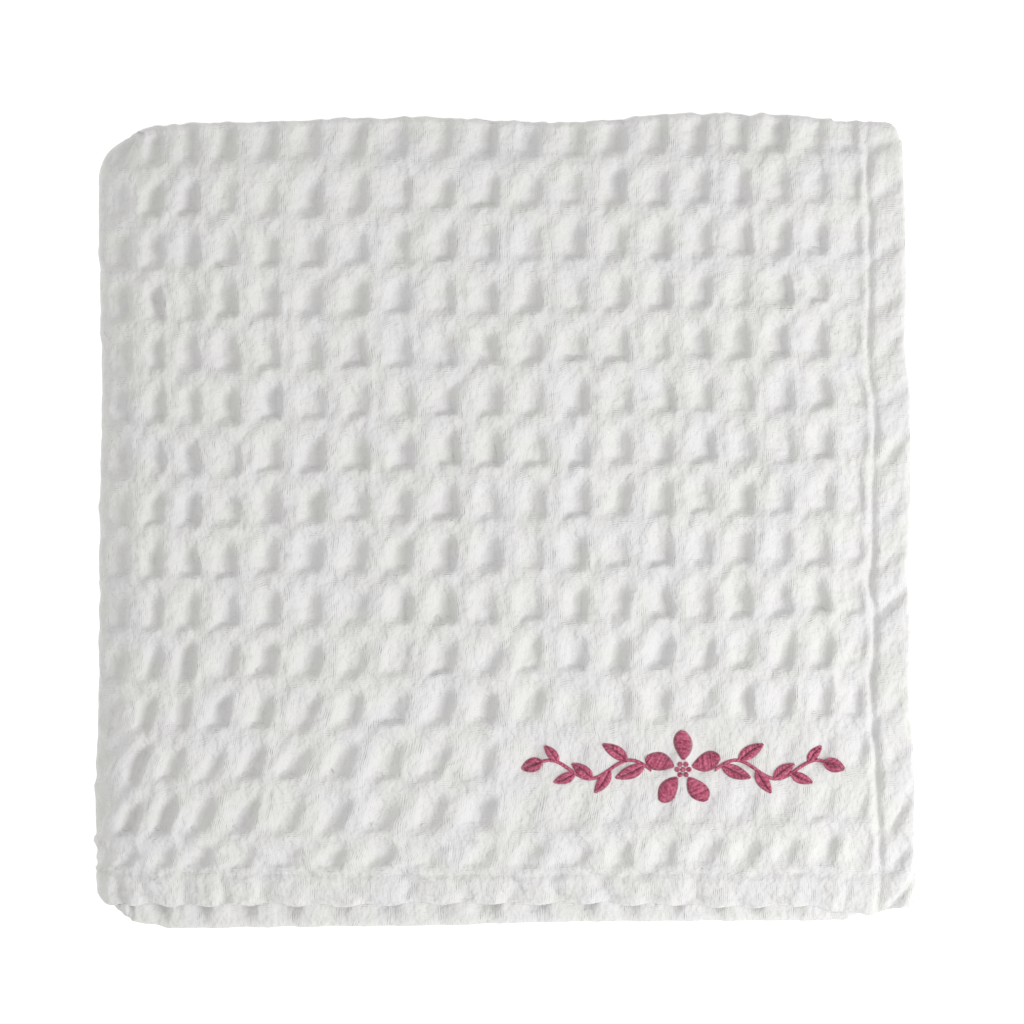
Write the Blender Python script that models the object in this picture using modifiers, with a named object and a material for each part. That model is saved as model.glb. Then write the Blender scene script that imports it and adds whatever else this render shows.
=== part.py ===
"""A waffle weave cotton blanket, folded in thirds and then in half, lying flat.

The cloth is one sheet. Its length goes back and forth in three layers: the top hem at the
front, a fold at the back, a fold at the front that shows below the hem, and the other hem
at the back. The three layers are then closed like a book round a soft roll at the left,
so that six layers lie on each other and the free side hems meet at the right.

Axes: +X to the right, +Y to the back, +Z up. The underside is flat at Z = 0, and the
origin is under the middle of the folded blanket. Sizes are in metres. A run is a distance
along the outer layer, from the upper side hem, round the roll, to the lower side hem.
"""

import math

import bpy
import numpy as np

# The cloth and the stack of layers
CLOTH_THICK = 0.0022
LAYER_STEP = 0.0041  # from the middle of one layer to the middle of the next
LAYERS_A_HALF = 3
OUTER_RISE = (LAYERS_A_HALF - 0.5) * LAYER_STEP  # outer layer's height over the middle
MIDDLE_Z = CLOTH_THICK / 2 + OUTER_RISE
SOFT_EDGE = 9.0  # degrees between faces, past which a ridge or a pit shows
FLOOR_REACH = 0.00005  # what lies nearer to the floor than this rests on it

# The outline seen from above: (place along the side, where the side is)
LEFT_SIDE = ((-0.133, -0.1513), (0.044, -0.1491), (0.131, -0.1502))
RIGHT_SIDE = (
    (-0.139, 0.1520),
    (-0.104, 0.1508),
    (-0.015, 0.1494),
    (0.044, 0.1496),
    (0.067, 0.1474),
    (0.118, 0.1482),
    (0.143, 0.1476),
)
BACK_FOLD = (
    (-0.113, 0.1462),
    (-0.032, 0.1487),
    (0.020, 0.1466),
    (0.072, 0.1497),
    (0.142, 0.1476),
)
FRONT_HEM = (
    (-0.150, -0.1430),
    (-0.060, -0.1424),
    (0.030, -0.1420),
    (0.105, -0.1432),
    (0.131, -0.1469),
    (0.150, -0.1436),
)
FRONT_FOLD = (
    (-0.119, -0.1508),
    (-0.039, -0.1499),
    (0.050, -0.1484),
    (0.124, -0.1477),
    (0.136, -0.1430),
    (0.150, -0.1405),
)
REAR_HEM = ((-0.150, 0.1450), (-0.050, 0.1432), (0.060, 0.1415), (0.150, 0.1440))
BACK_RIGHT_ROUNDING = 0.0060
OUTLINE_MIDDLE = (-0.0005, -0.0005)

# How edges draw in at the left corners: (how near to the corner, how far at most, power)
BACK_DRAW = (0.036, 0.0056, 1.5)  # the back fold, towards the left
FRONT_DRAW = (0.040, 0.0074, 0.80)  # the front fold, towards the left
ROLL_BACK_DRAW = (0.014, 0.0090, 2.8)  # the roll, towards the back fold
ROLL_FRONT_DRAW = (0.007, 0.0026, 2.0)  # the roll, towards the front hem

# How far deeper layers and the lower half of the book stay inside the outer layer
LAYER_SIDE_INSETS = (0.0, 0.0016, 0.0030)
LOWER_SIDE_INSET = 0.0006
LOWER_FRONT_INSET = 0.0014
LOWER_BACK_INSET = 0.0008

# The roll at the left, in the plane of X and Z
ROLL_HALF_WIDTH = 0.0200
ROLL_BLUNTNESS = 2.5  # 2 is an ellipse
ROLL_INNER_EXTRA = 1.3  # how far a deeper layer's roll draws in, for each metre of depth
ROLL_SAMPLES = 180
MEAN_LEFT = -0.1500
MEAN_RIGHT = 0.1487
UPPER_RUN = MEAN_RIGHT - MEAN_LEFT - ROLL_HALF_WIDTH

# The waffle: ridges between square pits, counted from the hems
RIDGE_RISE = 0.0012  # a ridge over the middle surface, and a pit under it
SIDE_SEAM_RUN = 0.0140
FRONT_SEAM_Y = -0.1308
SEAM_SINK = 0.0010
COLUMNS = 19
COLUMN_PITCH = (  # (columns from the side seam, pitch there)
    (0, 0.0124),
    (1, 0.0140),
    (4, 0.0152),
    (8, 0.0162),
    (13, 0.0164),
    (15, 0.0146),
    (17, 0.0122),
    (19, 0.0150),
)
ROWS = 13
ROW_PITCH = 0.0191
FIRST_ROW_LEFT = -0.1204  # the front ridge's Y at the left side
FIRST_ROW_RIGHT = -0.1138
SEAM_ROW_PLACE = -0.4  # the shallow pits between the front seam and the first ridge
SEAM_ROW_WAVE = 0.3
ROLL_RELIEF = ((0.0, 1.0), (0.3, 0.6), (0.7, 0.6), (0.85, 0.0))  # (share round, relief)
ROLL_STEPS = (0.38, 0.62, 0.85)  # shares round the roll with a station of their own
LOWER_STEPS = 5

# The columns lean to the left towards the front left corner
LEAN = 0.0090
LEAN_ACROSS = (0.045, -0.080)
LEAN_DOWN = (-0.045, -0.130)
LEAN_ENDS = (0.5, 1.0)  # shares round the roll

# The folds at the back and at the front
TURN_STEPS = 5
FOLD_RELIEF = 0.0004

# The loft of the stack, as shares of its height
EDGE_DROPS = (0.10, 0.05, 0.09, 0.10)  # left, right, front, back
DROP_WIDTHS = (0.050, 0.035, 0.030, 0.026)
FRONT_EDGE, BACK_EDGE = -0.1424, 0.1487
LOFT_WAVES = (  # (share of the height, length along X, length along Y, start)
    (0.016, 0.210, 0.260, 0.15),
    (0.010, 0.130, -0.170, 0.40),
)


def eased(share):
    """A soft step from 0 to 1."""
    share = np.clip(share, 0.0, 1.0)
    return share * share * (3.0 - 2.0 * share)


def step_between(ends, place):
    """A soft step from 0 at the first end to 1 at the second."""
    return eased((place - ends[0]) / (ends[1] - ends[0]))


def along(table, place):
    """A table's second column at a place in its first, with soft changes between rows."""
    starts, values = np.array(table).T
    place = np.clip(place, starts[0], starts[-1])
    row = np.searchsorted(starts, place, side="right") - 1
    row = np.clip(row, 0, len(starts) - 2)
    share = (place - starts[row]) / (starts[row + 1] - starts[row])
    return values[row] + (values[row + 1] - values[row]) * eased(share)


def straight(table, place):
    """A table's second column at a place in its first, with straight lines between."""
    starts, values = np.array(table).T
    return np.interp(place, starts, values)


def roll_turn(turn):
    """(outward share, upward share) of the roll's blunt curve at a turn in radians."""
    power = 2 / ROLL_BLUNTNESS
    up = np.sign(np.cos(turn)) * np.abs(np.cos(turn)) ** power
    return np.abs(np.sin(turn)) ** power, up


def roll_distances():
    """(turns, distances to them round the outer layer's roll)."""
    turns = np.linspace(0.0, math.pi, ROLL_SAMPLES + 1)
    out, up = roll_turn(turns)
    gaps = np.hypot(np.diff(out) * ROLL_HALF_WIDTH, np.diff(up) * OUTER_RISE)
    return turns, np.concatenate([[0.0], np.cumsum(gaps)])


TURNS, TURN_DISTANCES = roll_distances()
ROLL_RUN = TURN_DISTANCES[-1]
FULL_RUN = 2 * UPPER_RUN + ROLL_RUN


def round_roll(run):
    """The share of the way round the roll, below 0 before it and above 1 past it."""
    return (run - UPPER_RUN) / ROLL_RUN


def turn_at(run):
    """The roll's turn at a run: 0 all along the upper half, half a circle on the lower."""
    return np.interp(run - UPPER_RUN, TURN_DISTANCES, TURNS)


def plan_x(run):
    """X of the outer layer at a run, seen from above on a straight-sided blanket."""
    flat = np.where(run > UPPER_RUN + ROLL_RUN, FULL_RUN - run, run)
    reach = ROLL_HALF_WIDTH * roll_turn(turn_at(run))[0]
    return MEAN_RIGHT - np.minimum(flat, UPPER_RUN) - reach


def rounding(distance, radius):
    """How far a corner of the outline draws in, at a distance from its side."""
    inside = np.clip(radius - distance, 0.0, radius)
    return radius - np.sqrt(radius**2 - inside**2)


def drawn_in(distance, draw):
    """How far an edge draws in, at a distance from the roll or from the roll's end."""
    reach, most, power = draw
    return most * np.clip(1 - distance / reach, 0.0, 1.0) ** power


def back_line(table, x):
    """Y of a back edge that crosses from side to side, with its ends drawn in."""
    y = along(table, x) - drawn_in(x - MEAN_LEFT, BACK_DRAW)
    return y - rounding(along(RIGHT_SIDE, y) - x, BACK_RIGHT_ROUNDING)


def front_line(x):
    """Y of the front fold, which draws in towards its own roll."""
    return along(FRONT_FOLD, x) + drawn_in(x - MEAN_LEFT, FRONT_DRAW)


def row_y(number, x):
    """Y of a row's ridge, which runs a little nearer the back at the right."""
    share = (x - MEAN_LEFT) / (MEAN_RIGHT - MEAN_LEFT)
    first = FIRST_ROW_LEFT + (FIRST_ROW_RIGHT - FIRST_ROW_LEFT) * share
    return first + number * ROW_PITCH


def section(part, place, x, lower):
    """(Y, depth below the outer layer, and the cloth's outer side as Y and depth).

    It is the back-and-forth section of the three layers, cut at X. The place goes from 0
    to 1 along a hem, a layer or a fold, and counts ridges on the rows of the first layer.
    """
    radius = LAYER_STEP / 2
    hem = along(FRONT_HEM, x) + LOWER_FRONT_INSET * lower
    back = back_line(BACK_FOLD, x) - LOWER_BACK_INSET * lower - radius
    front = front_line(x) + LOWER_FRONT_INSET * lower + radius
    sine, cosine = math.sin(math.pi * place), math.cos(math.pi * place)
    if part == "hem":
        return hem + (FRONT_SEAM_Y - hem) * place, 0.0, 0.0, -1.0
    if part == "row":
        return row_y(place, x), 0.0, 0.0, -1.0
    if part == "back fold":
        return back + radius * sine, radius * (1 - cosine), sine, -cosine
    if part == "second":
        return back + (front - back) * place, LAYER_STEP, 0.0, 1.0
    if part == "front fold":
        depth = LAYER_STEP + radius * (1 - cosine)
        return front - radius * sine, depth, sine, cosine
    rear = back_line(REAR_HEM, x) - LOWER_BACK_INSET * lower
    return front + (rear - front) * place, 2 * LAYER_STEP, 0.0, -1.0


def lean(x, y):
    """How far the columns lean to the left towards the front left corner."""
    return LEAN * step_between(LEAN_ACROSS, x) * step_between(LEAN_DOWN, y)


def roll_width_share(x, y):
    """The share of its width that the roll keeps, which is less at its ends."""
    drawn = drawn_in(back_line(BACK_FOLD, x) - y, ROLL_BACK_DRAW)
    drawn = drawn + drawn_in(y - along(FRONT_HEM, x), ROLL_FRONT_DRAW)
    return 1 - drawn / ROLL_HALF_WIDTH


def book(run, y, depth, lower):
    """(X, height over the floor) of the cloth on its way round the roll."""
    rise = OUTER_RISE - depth
    width = rise * (1 + (ROLL_HALF_WIDTH / OUTER_RISE - 1) * (rise / OUTER_RISE) ** 1.5)
    roll_x = along(LEFT_SIDE, y) + depth * ROLL_INNER_EXTRA + width
    layers = np.clip(depth / LAYER_STEP, 0, LAYERS_A_HALF - 1)
    inset = np.interp(layers, range(LAYERS_A_HALF), LAYER_SIDE_INSETS)
    free_x = along(RIGHT_SIDE, y) - inset - LOWER_SIDE_INSET * lower
    flat = np.minimum(run, FULL_RUN - run)
    share = np.clip(flat / UPPER_RUN, 0.0, 1.0)
    out, up = roll_turn(turn_at(run))
    width = width * roll_width_share(plan_x(run), y)
    return free_x + (roll_x - free_x) * share - width * out, MIDDLE_Z + rise * up


def loft(x, y):
    """The share of the full height that the stack has at a place."""
    gaps = (
        x - along(LEFT_SIDE, y),
        along(RIGHT_SIDE, y) - x,
        y - FRONT_EDGE,
        BACK_EDGE - y,
    )
    share = 1.0
    for gap, drop, width in zip(gaps, EDGE_DROPS, DROP_WIDTHS):
        share = share - drop * (1 - eased(gap / width))
    for size, length_x, length_y, start in LOFT_WAVES:
        wave_x = np.sin(2 * math.pi * (x / length_x + start))
        share = share + size * wave_x * np.sin(2 * math.pi * (y / length_y + start))
    return share


def side_stations():
    """(runs, relief waves) across the cloth: a wave is 1 on a ridge and 0 in a pit."""
    pitches = [straight(COLUMN_PITCH, column) for column in range(COLUMNS)]
    ridges = SIDE_SEAM_RUN + np.cumsum(pitches)
    first_middle = (SIDE_SEAM_RUN + ridges[0]) / 2
    stations = [(0.0, 0.6), (SIDE_SEAM_RUN / 2, 0.75), (SIDE_SEAM_RUN, 0.5)]
    stations += [(first_middle, 0.8), (ridges[0], 1.0)]
    for near, far in zip(ridges, ridges[1:]):
        stations += [((near + far) / 2, 0.0), (far, 1.0)]
    stations += [(UPPER_RUN + share * ROLL_RUN, 0.5) for share in ROLL_STEPS]
    lower_start = UPPER_RUN + ROLL_RUN
    stations += [(run, 0.5) for run in np.linspace(lower_start, FULL_RUN, LOWER_STEPS + 1)]
    return np.array(sorted(stations)).T


def length_stations():
    """(part, place, relief wave) along the cloth, from the front hem to the rear hem."""
    stations = [("hem", 0.0, 1.0), ("hem", 1.0, 1.0)]
    stations += [("row", SEAM_ROW_PLACE, SEAM_ROW_WAVE), ("row", 0.0, 1.0)]
    for row in range(ROWS):
        stations += [("row", row + 0.5, 0.0), ("row", row + 1.0, 1.0)]
    turns = [step / TURN_STEPS for step in range(TURN_STEPS + 1)]
    stations += [("back fold", turn, 1.0) for turn in turns]
    stations += [("second", 1 / 3, 1.0), ("second", 2 / 3, 1.0)]
    stations += [("front fold", turn, 1.0) for turn in turns]
    stations += [("third", share, 1.0) for share in (1 / 3, 2 / 3, 1.0)]
    return stations


def relief(runs, side_waves, part, place, length_wave):
    """How far a line of stations stands to the outer side of the cloth."""
    share = straight(ROLL_RELIEF, round_roll(runs))
    if part in ("second", "third"):
        return 0.0 * share
    if part in ("back fold", "front fold"):
        return share * FOLD_RELIEF * (2 * side_waves - 1) * math.sin(math.pi * place)
    if part == "hem" and place == 1.0:
        return -share * SEAM_SINK
    waffle = RIDGE_RISE * (1 - 2 * (1 - side_waves) * (1 - length_wave))
    if part == "hem":
        waffle = 0.0
    return share * np.where(runs == SIDE_SEAM_RUN, -SEAM_SINK, waffle)


def cloth_line(runs, side_waves, station):
    """Points of the cloth's middle surface along one length station, side to side."""
    part, place, length_wave = station
    x = plan_x(runs)
    lower = (round_roll(runs) > 0.5).astype(float)
    y, depth, out_y, out_depth = section(part, place, x, lower)
    height = relief(runs, side_waves, part, place, length_wave)
    y, depth = y + height * out_y, depth + height * out_depth
    leaning = lean(x, y) * (1 - step_between(LEAN_ENDS, round_roll(runs)))
    x, z = book(runs + leaning, y, depth, lower)
    raised = np.maximum(z - LAYER_STEP / 2, 0.0)
    z = z + (loft(x, y) - 1) * raised
    return np.column_stack([x - OUTLINE_MIDDLE[0], y - OUTLINE_MIDDLE[1], z])


def cloth_sheet():
    """The open middle surface of the folded cloth, as a grid of its stations."""
    runs, side_waves = side_stations()
    lines = [cloth_line(runs, side_waves, station) for station in length_stations()]
    count = len(runs)
    faces = [
        (j * count + i, j * count + i + 1, (j + 1) * count + i + 1, (j + 1) * count + i)
        for j in range(len(lines) - 1)
        for i in range(count - 1)
    ]
    mesh = bpy.data.meshes.new("blanket")
    mesh.from_pydata(np.concatenate(lines).tolist(), [], faces)
    mesh.update()
    return mesh


def white_cotton():
    """Bleached cotton: nearly white, without gloss."""
    material = bpy.data.materials.new("white_cotton")
    material.use_nodes = True
    shader = material.node_tree.nodes["Principled BSDF"]
    shader.inputs["Base Color"].default_value = (0.82, 0.82, 0.80, 1.0)
    shader.inputs["Roughness"].default_value = 0.92
    shader.inputs["Metallic"].default_value = 0.0
    return material


def lay_flat(piece):
    """Puts the underside's points, which the cloth's turns leave a hair up, on the floor."""
    depsgraph = bpy.context.evaluated_depsgraph_get()
    body = bpy.data.meshes.new_from_object(piece.evaluated_get(depsgraph))
    for point in body.vertices:
        if point.co.z < FLOOR_REACH:
            point.co.z = 0.0
    piece.modifiers.clear()
    piece.data = body


def blanket(collection):
    """The folded cloth, given its thickness and laid on the floor."""
    piece = bpy.data.objects.new("blanket", cloth_sheet())
    collection.objects.link(piece)
    piece.data.materials.append(white_cotton())
    piece.data.shade_smooth()
    piece.data.set_sharp_from_angle(angle=math.radians(SOFT_EDGE))
    body = piece.modifiers.new("cloth thickness", "SOLIDIFY")
    body.thickness = CLOTH_THICK
    body.offset = 0.0
    body.use_rim = True
    lay_flat(piece)
    return piece


def main():
    for item in list(bpy.data.objects):
        bpy.data.objects.remove(item, do_unlink=True)
    collection = bpy.data.collections.new("waffle_blanket")
    bpy.context.scene.collection.children.link(collection)
    blanket(collection)


main()
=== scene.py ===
"""Looks of the folded waffle weave blanket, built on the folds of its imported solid.

The cloth is one closed thin sheet on the solid's folds, with the weave's ridges and pits,
its hems and their seams. Sewing thread lies in the seams, and a sprig in satin stitch lies
on the front right corner. Sizes are in metres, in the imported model's frame. A run is a
distance along the outer layer, from the upper side hem, round the roll, to the lower one.
"""

import math

import bpy
import numpy as np
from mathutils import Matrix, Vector
from mathutils.bvhtree import BVHTree


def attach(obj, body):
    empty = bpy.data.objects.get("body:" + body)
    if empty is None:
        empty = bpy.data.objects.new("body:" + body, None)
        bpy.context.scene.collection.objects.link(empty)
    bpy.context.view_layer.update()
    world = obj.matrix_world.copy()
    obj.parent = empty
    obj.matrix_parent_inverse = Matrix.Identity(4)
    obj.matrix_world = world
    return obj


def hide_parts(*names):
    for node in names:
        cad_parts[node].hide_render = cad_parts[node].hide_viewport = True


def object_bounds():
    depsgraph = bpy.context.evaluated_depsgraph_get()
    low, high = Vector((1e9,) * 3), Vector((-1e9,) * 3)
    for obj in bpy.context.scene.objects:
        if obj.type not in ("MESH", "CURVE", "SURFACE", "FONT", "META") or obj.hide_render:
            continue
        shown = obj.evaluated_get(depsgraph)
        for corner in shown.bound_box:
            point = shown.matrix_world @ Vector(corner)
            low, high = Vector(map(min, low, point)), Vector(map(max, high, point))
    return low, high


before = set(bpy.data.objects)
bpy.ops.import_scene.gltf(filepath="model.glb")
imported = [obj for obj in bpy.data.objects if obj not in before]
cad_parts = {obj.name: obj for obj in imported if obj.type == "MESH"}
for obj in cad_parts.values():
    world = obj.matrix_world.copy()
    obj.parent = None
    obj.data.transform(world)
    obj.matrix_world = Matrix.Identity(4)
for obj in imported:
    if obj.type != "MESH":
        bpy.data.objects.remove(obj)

CAD_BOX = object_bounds()

# The camera: straight above, with the photograph's frame
FRAME_WIDTH = 0.3789  # how much of the blanket's top the picture is wide
CAMERA_PLACE = (0.0027, 0.0035)
CAMERA_RISE = 1.70
SENSOR = 36.0

# The folds, as in the solid, but for the front hem's right end, which lies 1.4 mm farther
# in. An outline is a table of places along it and its X or Y there. A draw says how far from
# the corner it reaches, the most it draws in, and the power of its curve. The first two draw
# in the folds towards the left, the others draw in the roll towards its two ends.
CLOTH_THICK = 0.0022
LAYER_STEP = 0.0041
LAYERS_A_HALF = 3
OUTER_RISE = (LAYERS_A_HALF - 0.5) * LAYER_STEP
MIDDLE_Z = CLOTH_THICK / 2 + OUTER_RISE
LEFT_SIDE = ((-0.133, -0.1513), (0.044, -0.1491), (0.131, -0.1502))
RIGHT_SIDE = (
    (-0.139, 0.1520), (-0.104, 0.1508), (-0.015, 0.1494), (0.044, 0.1496),
    (0.067, 0.1474), (0.118, 0.1482), (0.143, 0.1476),
)
BACK_FOLD = (
    (-0.113, 0.1462), (-0.032, 0.1487), (0.020, 0.1466), (0.072, 0.1497), (0.142, 0.1476),
)
FRONT_HEM = (
    (-0.150, -0.1430), (-0.060, -0.1424), (0.030, -0.1420), (0.105, -0.1432),
    (0.131, -0.1455), (0.150, -0.1430),
)
FRONT_FOLD = (
    (-0.119, -0.1508), (-0.039, -0.1499), (0.050, -0.1484), (0.124, -0.1477),
    (0.136, -0.1430), (0.150, -0.1405),
)
REAR_HEM = ((-0.150, 0.1450), (-0.050, 0.1432), (0.060, 0.1415), (0.150, 0.1440))
BACK_RIGHT_ROUNDING = 0.0060
OUTLINE_MIDDLE = (-0.0005, -0.0005)
BACK_DRAW = (0.036, 0.0056, 1.5)
FRONT_DRAW = (0.040, 0.0074, 0.80)
ROLL_BACK_DRAW = (0.014, 0.0090, 2.8)
ROLL_FRONT_DRAW = (0.007, 0.0026, 2.0)
LAYER_SIDE_INSETS = (0.0, 0.0016, 0.0030)  # of the three layers of a half, from the outer
LOWER_SIDE_INSET = 0.0006  # how much farther in the lower half lies
LOWER_FRONT_INSET = 0.0014
LOWER_BACK_INSET = 0.0008
LOWER_ENDS = (0.3, 0.8)  # shares round the roll between the upper and the lower half
ROLL_HALF_WIDTH = 0.0200
ROLL_BLUNTNESS = 2.5
ROLL_INNER_EXTRA = 1.3
ROLL_TAPER = 1.5
ROLL_SAMPLES = 180
MEAN_LEFT = -0.1500
MEAN_RIGHT = 0.1487
UPPER_RUN = MEAN_RIGHT - MEAN_LEFT - ROLL_HALF_WIDTH
SIDE_SEAM_RUN = 0.0140
FRONT_SEAM_Y = -0.1308
COLUMN_PITCH = (
    (0, 0.0124), (1, 0.0140), (4, 0.0152), (8, 0.0162),
    (13, 0.0164), (15, 0.0146), (17, 0.0122), (19, 0.0150),
)
ROWS = 13
ROW_PITCH = 0.0191
FIRST_ROW_LEFT = -0.1204
FIRST_ROW_RIGHT = -0.1138
ROLL_RELIEF = ((0.0, 1.0), (0.3, 0.65), (0.8, 0.65), (1.0, 0.8))  # (share round, relief)
LEAN = 0.0090  # how far the columns lean, and the Xs, Ys and roll's shares it changes over
LEAN_ACROSS = (0.045, -0.080)
LEAN_DOWN = (-0.045, -0.130)
LEAN_ENDS = (0.5, 1.0)
EDGE_DROPS = (0.10, 0.05, 0.09, 0.10)  # the height lost at the left, right, front and back
DROP_WIDTHS = (0.050, 0.035, 0.030, 0.026)
FRONT_EDGE, BACK_EDGE = -0.1424, 0.1487
LOFT_WAVES = ((0.016, 0.210, 0.260, 0.15), (0.010, 0.130, -0.170, 0.40))

# The stations of the sheet's lattice: steps in each span, and the strides of the three
# densities in it. A fine cell has 12 by 12 faces, a middle one 4 by 4, a coarse one 2 by 2.
CELL_STEPS = 12
CELL_STRIDES = (1, 3, 6)
UPPER_COLUMNS = 21  # from the side seam to the end of the roll
COLUMNS = UPPER_COLUMNS + 17  # to the lower side seam
HEM_SHARES = (0.0, 0.02, 0.06, 0.12, 0.21, 0.32, 0.43, 0.54, 0.65, 0.76, 0.85, 0.92, 0.97, 1.0)
FOLD_STEPS = 8
BACK_FOLD_ROWS = (13.7, 14.05)
FRONT_FOLD_ROWS = (28.32, 28.66)
FRONT_END_SHARE = 0.955
FRONT_END_ROW = 27.63
REAR_SEAM_SHARE = 0.953
REAR_SEAM_ROW = 43.2
SHOWN = {"outer": ("front hem", "first", "back fold"), "inner": ("front end", "front fold")}

# The weave's relief on the outer layer. Places in a cell go from 0 at its right and its
# front ridge to 1 at its left and its back one.
PIT_DEPTH = 0.0028
CREST_RISE = 0.0012
UPRIGHT_RIDGE = (0.17, 0.11)  # the half widths of its top on the near and the far side
LEVEL_RIDGE = (0.08, 0.07)
UPRIGHT_DEEP = (0.38, 0.52)  # the deepest stretch between its steep and its gentle wall
LEVEL_DEEP = (0.27, 0.60)
PIT_UNEVENNESS = 0.30
PIT_SHIFT = 0.04
TILT_ROWS = ((-1, 0.30), (1, 0.28), (3.5, 0.08), (5, -0.04), (11, -0.04), (13, 0.15))
CREST_WAVES = 0.00025
LEVEL_PUFF = 0.0005
LEVEL_BOW = 0.0013
UPRIGHT_PUFF = 0.0003
UPRIGHT_WAVER = 0.0008
LEVEL_WAVER = 0.0009
ZIGZAG = 0.0009
ZIGZAG_ROWS = ((-1, 0.65), (1, 0.65), (3.5, 0.10), (5, -0.3), (11, -0.3), (13, 0.2))
QUIET_ROWS = (  # below 0 the relief is turned over, where the cloth's back side shows
    (13.7, 1.0), (14.6, 0.25), (27.2, -0.3), (27.8, -1.1),
    (28.12, -1.0), (28.32, -0.25), (28.66, -0.10), (30, 0.25),
)
STRIP_SHIFT = (0.37, 0.24)  # how far the strip below the hem lies to the right, and forward
CRUMPLES = (  # (height, length across, length along, turn in degrees, seed)
    (0.00045, 0.0130, 0.0150, 20, 3),
    (0.00056, 0.0042, 0.0052, 15, 5),
)
WRINKLES = (0.00056, 0.0027, 0.0042, -10, 7)  # chiefly on the ridges
CREASES = (0.00055, 0.0050, 0.0150, -33, 11)
CREASE_ROWS = ((-1, 1.0), (2, 1.0), (5, 0.35), (11, 0.25), (13.5, 0.8))
BACK_FOLD_SINK = (12.9, 13.9)  # the rows over which the relief sinks into the fold's line
ROLLED = (0.1, 0.4)  # the shares of the way round the roll over which hems grow plainer
DRIFT = (0.00060, 0.060, 0.075, 0, 13)
TABLE = 64  # rows and columns of random numbers
MOVING_COLUMNS = (0.0, 0.4)  # where the ridges begin to waver, from the side seam,
MOVING_ROWS = (-1.0, -0.6)  # from the front seam,
MOVING_BACK_ROWS = (13.6, 12.5)  # and from the back fold
EDGE_CELL_LOSSES = (0.45, 0.30)  # of relief, in the cells by the side and the front seam
WRINKLE_LOSS = 0.7  # of the wrinkles, in the pits
INNER_RELIEF = 0.9  # the share of the relief that the cloth's inner side follows

# Hems and seams
HEM_LOSSES = (0.88, 0.40)  # of the weave's and of the crumples' relief
HEM_INNER_THICK = 0.0019
HEM_OUTER_THICK = 0.0014
SIDE_PUFF = 0.0007
FRONT_PUFF = 0.0009
SIDE_PUCKER = 0.0016
FRONT_PUCKER = 0.0014
SIDE_PUCKER_SLANT = 0.62
FRONT_PUCKER_SLANT = -0.20
PUCKER_STARTS = (0.0, 0.30)  # how much of the side and front puckers is left at the edge
TROUGH_WIDTH = 0.16
SIDE_SEAM_SINK = 0.0018
FRONT_SEAM_SINK = 0.0007
SEAM_HALF_WIDTH = 0.0012
SEAM_LIP = 0.0002
SEAM_LIP_PLACE = 0.0028
SEAM_LIP_WIDTH = 0.0012
SEAM_STEP = 0.0012  # half the width of the step from a hem to the plain cloth
SEAM_PINCH = (0.35, 0.0012)  # how much thinner the cloth is in a seam, and how far round it
CROSSING_LOSS = 0.7  # of a seam, in the hem that it crosses
PLAINER = (0.8, 0.6)  # what hems lose round the roll or at the back fold, and below
HIDDEN = 0.5  # what they keep on hidden layers
SEAM_WAVER = 0.0008
SEAM_WAVER_REACH = 0.0060
EDGE_NOSES = (0.0026, 0.0046)  # reach of the rounding at a side hem's and an end hem's edge
EDGE_WAVES = (0.0008, 0.021, 17)
HEM_SCALLOP = 0.0006

# Sewing thread in the seams
STITCH_LENGTH = 0.0023
STITCH_PITCH = 0.0032
STITCH_RADIUS = 0.00024
STITCH_LIFT = -0.00004
STITCH_RINGS = 6

# The sprig in satin stitch, and the calmer cloth under it
SPRIG_MIDDLE = (0.0660, -0.0918)
SPRIG_HALF = (0.0610, 0.0155)
CALM_MARGIN = 0.011
CALM = 0.62
THREAD_RADIUS = 0.00023
THREAD_PITCH = 0.00037
THREAD_RINGS = 6
THREAD_SIDES = 5
THREAD_LIFT = 0.00022
PADDING = 0.00080
PETALS = 5
PETAL = (0.0034, 0.0112, 0.0036)  # start from the flower's middle, length, half width
KNOT_RADIUS = 0.00095
KNOT_RING = (6, 0.0022)
STEM_ENDS = (0.0120, 0.0520)
STEM_WAVE = (0.0034, 0.0300)  # height, and length of one wave
STEM_HALF_WIDTH = 0.00060
LEAVES = 6
LEAF_LENGTHS = (0.0118, 0.0080)  # of the first and the last
LEAF_HALF_WIDTHS = (0.0025, 0.0019)
LEAF_ANGLE = 48
LEAF_BEND = 0.14
LEAF_THREAD_SLANT = 40
BUD = (0.0086, 0.0026)

# Looks: noise blends the two colours of each pair
YARNS_ACROSS = 20
YARNS_ALONG = 24
YARN_WAVER = 9.0
YARN_DEPTH = 0.00006
FUZZ_SCALE = 1500.0
CRINKLE = (400.0, 1.8, 0.0010)  # scale and detail of its noise, and its depth
CLOUD_SCALE = 55.0
FIBRE_DEPTH = 0.00010  # of sewing and satin thread
COTTON_COLOURS = ((0.794, 0.783, 0.793, 1.0), (0.785, 0.784, 0.766, 1.0))
SEWING_COLOURS = ((0.66, 0.66, 0.65, 1.0), (0.86, 0.86, 0.85, 1.0))
SATIN_COLOURS = ((0.27, 0.024, 0.070, 1.0), (0.76, 0.205, 0.330, 1.0))
FLOOR_COLOUR = (0.93, 0.93, 0.93, 1.0)
FLOOR_GLOW = 0.45
FLOOR_WIDTH = 6.0
FLOOR_Z = -0.0002
WORLD_COLOUR = (1.0, 1.0, 0.985, 1.0)
WORLD_STRENGTH = 0.68
SOFTBOX_WIDTH = 0.50
SOFTBOX_WATTS = 5.5
SOFTBOX_PLACE = (-24, 36, 1.05)  # azimuth and elevation in degrees, and distance


def eased(share):
    """A soft step from 0 to 1."""
    share = np.clip(share, 0.0, 1.0)
    return share * share * (3.0 - 2.0 * share)


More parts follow.
